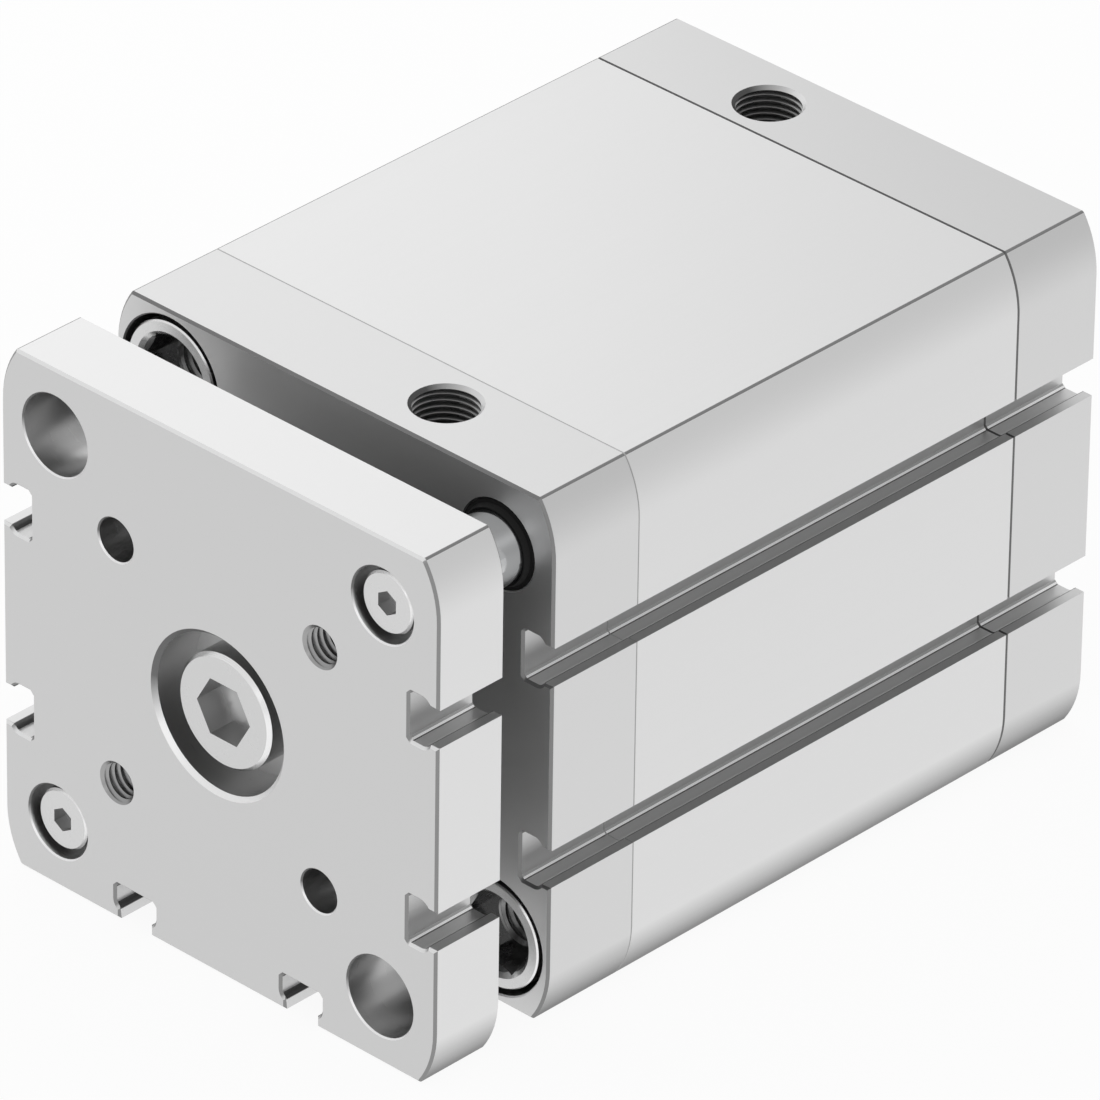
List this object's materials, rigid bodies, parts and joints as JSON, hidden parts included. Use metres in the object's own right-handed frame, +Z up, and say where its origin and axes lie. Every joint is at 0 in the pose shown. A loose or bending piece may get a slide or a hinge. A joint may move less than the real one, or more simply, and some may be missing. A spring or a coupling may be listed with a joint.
{
  "type": "guided pneumatic cylinder",
  "caption": "Compact double-acting pneumatic cylinder with a square yoke plate on guide rods, T-slots along the body and air ports on top.",
  "frame": {"origin": "centre of the rear mounting face, on the cylinder axis", "axes": "+Y along the cylinder axis, out of the rear mounting face; the yoke plate faces -Y; +Z up, with the air ports on top; +X to the right seen from the plate"},
  "size_m": [0.0754, 0.119, 0.0754],
  "materials": {
    "anodised_profile": "clear anodised extrusion, fine matt",
    "anodised_cap": "clear anodised, machined, fine matt",
    "anodised_plate": "clear anodised, machined, fine matt",
    "zinc_steel": "bright zinc plated",
    "ground_rod": "ground and polished high-alloy steel",
    "bearing_bronze": "sliding bearing layer on a bronze back",
    "seal_rubber": "black, dull",
    "pad_elastomer": "black elastomer, dull",
    "piston_aluminium": "turned, bare",
    "magnet": "plastic-bonded magnet, matt",
    "guide_plastic": "filled bearing plastic, matt"
  },
  "bodies": {
    "housing": {"cylinder_barrel": "anodised_profile", "front_cap": "anodised_cap", "rear_cap": "anodised_cap", "front_cap_screws": "zinc_steel", "rear_cap_screws": "zinc_steel", "front_barrel_seal": "seal_rubber", "rear_barrel_seal": "seal_rubber", "rod_bush": "bearing_bronze", "rod_seal": "seal_rubber", "right_guide_bush": "bearing_bronze", "left_guide_bush": "bearing_bronze", "right_guide_wiper": "seal_rubber", "left_guide_wiper": "seal_rubber"},
    "yoke": {"yoke_plate": "anodised_plate", "guide_rod_screws": "zinc_steel", "yoke_screw": "zinc_steel", "piston_screw": "zinc_steel", "piston_rod": "ground_rod", "right_guide_rod": "ground_rod", "left_guide_rod": "ground_rod", "rod_ring_seal": "seal_rubber", "front_piston_seal": "seal_rubber", "rear_piston_seal": "seal_rubber", "front_cushion_pad": "pad_elastomer", "rear_cushion_pad": "pad_elastomer", "piston_front": "piston_aluminium", "piston_rear": "piston_aluminium", "piston_magnet": "magnet", "piston_guide_band": "guide_plastic"}
  },
  "joints": [
    {"name": "yoke_slide", "type": "slide", "parent": "housing", "child": "yoke", "axis": [0, -1, 0], "range_m": [0, 0.05]}
  ]
}
